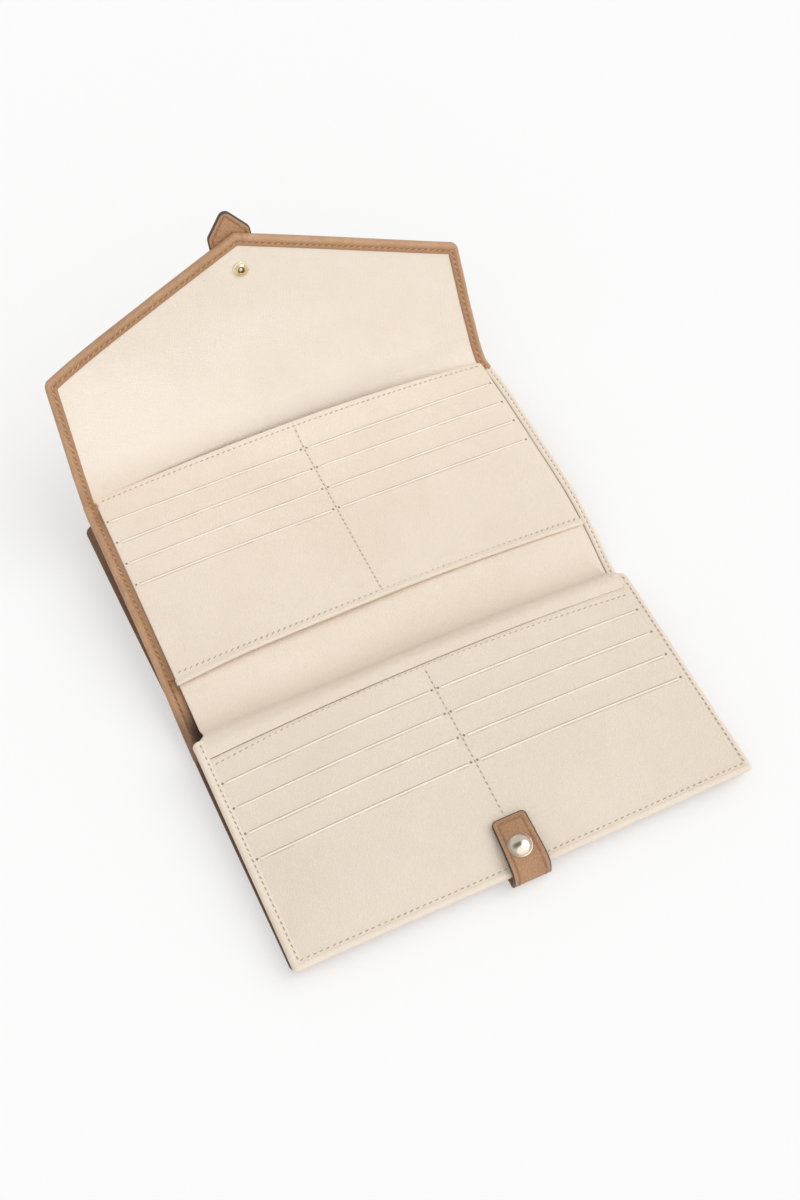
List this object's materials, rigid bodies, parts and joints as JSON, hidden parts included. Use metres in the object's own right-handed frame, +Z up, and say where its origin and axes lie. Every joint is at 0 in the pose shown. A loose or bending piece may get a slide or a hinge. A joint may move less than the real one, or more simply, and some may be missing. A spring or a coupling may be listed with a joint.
{
  "type": "coupon organizer wallet",
  "caption": "Folding leather organizer wallet lying open, with slotted card pages, a slip pocket behind the back cover, a snap tab round one page and a pointed envelope flap with a snap strap.",
  "frame": {"origin": "on the table, under the middle of the open wallet's bounding box", "axes": "+X along the folds to the viewer's right, +Y from the front edge towards the raised flap, +Z up"},
  "size_m": [0.196, 0.2795, 0.122],
  "materials": {
    "tan_leather": "soft matte grain",
    "dark_tan_leather": "matte, flesh side",
    "cream_leather": "smooth matte",
    "pocket_cloth": "thin woven lining",
    "silver_metal": "polished nickel",
    "gold_metal": "satin pale gold"
  },
  "bodies": {
    "back": {"back_leather": "tan_leather", "back_lining": "cream_leather", "edge_strip_left": "tan_leather", "edge_strip_right": "cream_leather", "rear_gusset_left": "dark_tan_leather", "rear_gusset_right": "dark_tan_leather", "rear_gusset_foot": "dark_tan_leather"},
    "rear_pocket": {"rear_pocket_leather": "tan_leather", "rear_pocket_lining": "dark_tan_leather"},
    "upper_page": {"upper_card_face": "cream_leather", "upper_pockets_left": "pocket_cloth", "upper_pockets_right": "pocket_cloth", "upper_page_backing": "cream_leather", "upper_hem": "cream_leather"},
    "spine": {"spine_leather": "tan_leather", "spine_lining": "cream_leather", "spine_edge_left": "tan_leather", "spine_edge_right": "cream_leather", "inner_spine_sheet": "cream_leather"},
    "front": {"front_leather": "tan_leather", "front_lining": "cream_leather", "front_stud": "gold_metal", "front_stud_washer": "gold_metal", "tab_anchor": "tan_leather"},
    "page": {"lower_card_face": "cream_leather", "lower_pockets_left": "pocket_cloth", "lower_pockets_right": "pocket_cloth", "lower_page_backing": "cream_leather", "page_border": "cream_leather", "page_roll": "cream_leather", "page_stud": "silver_metal", "page_stud_washer": "silver_metal"},
    "tab": {"tab_leather": "tan_leather", "tab_lining": "dark_tan_leather", "tab_snap_cap": "silver_metal", "tab_snap_socket": "silver_metal"},
    "flap_bridge": {"bridge_leather": "tan_leather", "bridge_lining": "cream_leather", "bridge_edge_left": "tan_leather", "bridge_edge_right": "tan_leather"},
    "flap": {"flap_leather": "tan_leather", "flap_lining": "cream_leather", "flap_binding": "tan_leather", "flap_strap": "tan_leather", "flap_strap_backing": "dark_tan_leather", "flap_snap_cap": "gold_metal", "flap_snap_socket": "gold_metal"}
  },
  "joints": [
    {"name": "spine_fold", "type": "hinge", "parent": "back", "child": "spine", "pos_m": [0, -0.00528, 0.01057], "axis": [-1, 0, 0], "range_deg": [0, 98.1], "deforming": ["inner_spine_sheet"]},
    {"name": "front_fold", "type": "hinge", "parent": "spine", "child": "front", "pos_m": [0, -0.03348, 0.0038], "axis": [-1, 0, 0], "range_deg": [0, 76.5]},
    {"name": "page_press", "type": "hinge", "parent": "front", "child": "page", "pos_m": [0, -0.13769, 0.0067], "axis": [-1, 0, 0], "range_deg": [0, 3]},
    {"name": "tab_fold", "type": "hinge", "parent": "page", "child": "tab", "pos_m": [0, -0.13628, 0.0005], "axis": [-1, 0, 0], "range_deg": [-150, 0]},
    {"name": "flap_bridge_fold", "type": "hinge", "parent": "back", "child": "flap_bridge", "pos_m": [0, 0.10175, 0.02069], "axis": [1, 0, 0], "range_deg": [-55, 31.4]},
    {"name": "flap_fold", "type": "hinge", "parent": "flap_bridge", "child": "flap", "pos_m": [0, 0.11639, 0.05071], "axis": [1, 0, 0], "range_deg": [-10, 79]},
    {"name": "upper_page_lift", "type": "hinge", "parent": "back", "child": "upper_page", "pos_m": [0, -0.00061, 0.01222], "axis": [-1, 0, 0], "range_deg": [-25, 0]},
    {"name": "rear_pocket_fold", "type": "hinge", "parent": "back", "child": "rear_pocket", "pos_m": [0, 0.00072, 0.0018], "axis": [1, 0, 0], "range_deg": [-12, 5], "deforming": ["rear_gusset_left", "rear_gusset_right", "rear_gusset_foot"]}
  ],
  "couplings": [
    {"joint": "front_fold", "follows": "spine_fold", "ratio": 0.77982}
  ]
}
